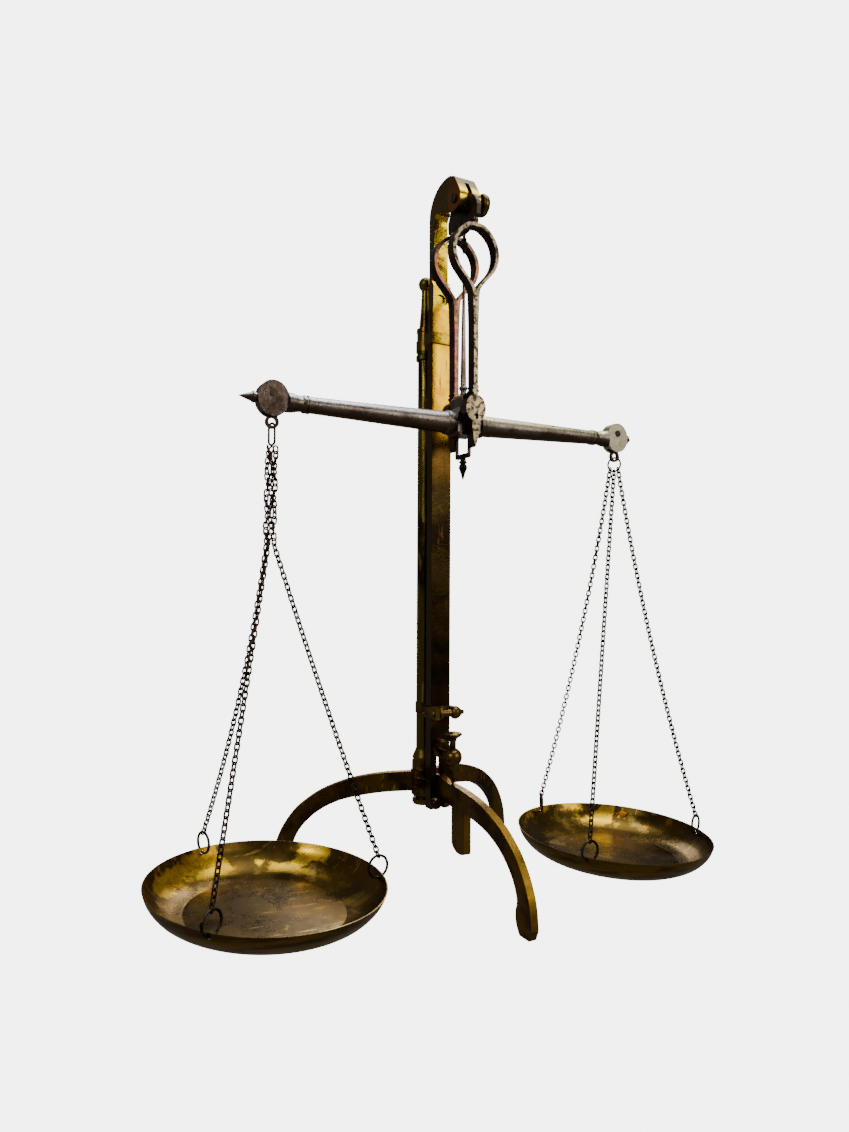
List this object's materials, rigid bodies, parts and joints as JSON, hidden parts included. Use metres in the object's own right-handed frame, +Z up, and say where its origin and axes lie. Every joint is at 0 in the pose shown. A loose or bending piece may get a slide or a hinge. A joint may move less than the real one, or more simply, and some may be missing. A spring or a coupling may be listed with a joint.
{
  "type": "apothecary balance",
  "caption": "Antique equal-arm apothecary balance: brass tripod stand, sliding crook, steel shears and beam with box ends, two brass pans on chains.",
  "frame": {"origin": "on the table, under the middle of the footprint of the three feet", "axes": "+Z up along the standard, +X along the beam towards the right-hand pan, -Y towards the single front leg"},
  "size_m": [0.543, 0.2428, 0.6444],
  "materials": {
    "brass": "worn",
    "old_brass": "patinated",
    "steel": "worn",
    "dark_steel": "patinated",
    "chain_metal": "patinated"
  },
  "bodies": {
    "stand": {"hub": "old_brass", "base_disc": "old_brass", "rear_left_leg": "old_brass", "rear_right_leg": "old_brass", "pillar_tube": "brass", "pillar_collar": "brass", "ball_finial": "brass", "standard_bar": "brass", "guide_band": "old_brass", "clamp_band": "old_brass", "levelling_ball": "old_brass", "leg_hinge_pin": "dark_steel"},
    "crook_head": {"crook": "brass", "crook_slide": "dark_steel", "cross_pin": "dark_steel"},
    "thumb_nut": {"thumb_nut": "brass"},
    "shears": {"hanger_plate": "dark_steel", "cheek_studs": "steel", "front_cheek": "steel", "rear_cheek": "steel", "pendant_index": "dark_steel", "stirrup": "dark_steel", "stirrup_finial": "dark_steel"},
    "beam": {"beam": "steel", "fulcrum_knife": "dark_steel", "tongue": "steel", "left_end_box": "steel", "right_end_box": "steel", "left_knife": "dark_steel", "right_knife": "dark_steel", "left_spike": "steel", "right_spike": "steel"},
    "left_hanger": {"left_hanger": "dark_steel"},
    "right_hanger": {"right_hanger": "dark_steel"},
    "left_pan": {"left_link": "chain_metal", "left_front_chain": "chain_metal", "left_rear_chain": "chain_metal", "left_inner_chain": "chain_metal", "left_rim_rings": "chain_metal", "left_pan": "brass"},
    "right_pan": {"right_ring": "chain_metal", "right_front_chain": "chain_metal", "right_rear_chain": "chain_metal", "right_outer_chain": "chain_metal", "right_rim_rings": "chain_metal", "right_pan": "brass"},
    "levelling_screw": {"levelling_screw": "old_brass"},
    "levelling_head": {"levelling_head": "brass"},
    "front_leg": {"front_leg": "brass", "leg_stop_pin": "old_brass"},
    "clamp_screw": {"clamp_screw": "old_brass", "clamp_collar": "brass"}
  },
  "joints": [
    {"name": "crook_lift", "type": "slide", "parent": "stand", "child": "crook_head", "axis": [0, 0, 1], "range_m": [0, 0.12]},
    {"name": "thumb_nut_turn", "type": "hinge", "parent": "crook_head", "child": "thumb_nut", "pos_m": [0, -0.01157, 0.617], "axis": [1, 0, 0], "range_deg": [0, 270]},
    {"name": "shears_swing", "type": "hinge", "parent": "crook_head", "child": "shears", "pos_m": [0, -0.01157, 0.617], "axis": [1, 0, 0], "range_deg": [-4, 4]},
    {"name": "beam_tilt", "type": "hinge", "parent": "shears", "child": "beam", "pos_m": [0, -0.01157, 0.426], "axis": [0, 1, 0], "range_deg": [-3, 3]},
    {"name": "left_hanger_swing", "type": "hinge", "parent": "beam", "child": "left_hanger", "pos_m": [-0.176, -0.01157, 0.4246], "axis": [0, 1, 0], "range_deg": [-4, 4]},
    {"name": "right_hanger_swing", "type": "hinge", "parent": "beam", "child": "right_hanger", "pos_m": [0.176, -0.01157, 0.4246], "axis": [0, 1, 0], "range_deg": [-4, 4]},
    {"name": "left_pan_swing", "type": "hinge", "parent": "left_hanger", "child": "left_pan", "pos_m": [-0.176, -0.01157, 0.3978], "axis": [1, 0, 0], "range_deg": [-4, 4]},
    {"name": "right_pan_swing", "type": "hinge", "parent": "right_hanger", "child": "right_pan", "pos_m": [0.176, -0.01157, 0.3978], "axis": [1, 0, 0], "range_deg": [-4, 4]},
    {"name": "level_travel", "type": "slide", "parent": "stand", "child": "levelling_screw", "axis": [0, 0, 1], "range_m": [-0.0015, 0.0015]},
    {"name": "level_turn", "type": "hinge", "parent": "levelling_screw", "child": "levelling_head", "pos_m": [0, 0.00393, 0.1315], "axis": [0, 0, 1], "range_deg": [-676, 676]},
    {"name": "front_leg_hinge", "type": "hinge", "parent": "stand", "child": "front_leg", "pos_m": [0, 0.03213, 0.082], "axis": [1, 0, 0], "range_deg": [-3.1, 3.1]},
    {"name": "clamp_turn", "type": "hinge", "parent": "stand", "child": "clamp_screw", "pos_m": [0, 0.01823, 0.1545], "axis": [1, 0, 0], "range_deg": [-90, 180]}
  ],
  "couplings": [
    {"joint": "level_turn", "follows": "level_travel", "rad_per_m": 7854},
    {"joint": "front_leg_hinge", "follows": "level_travel", "rad_per_m": -35.46}
  ]
}
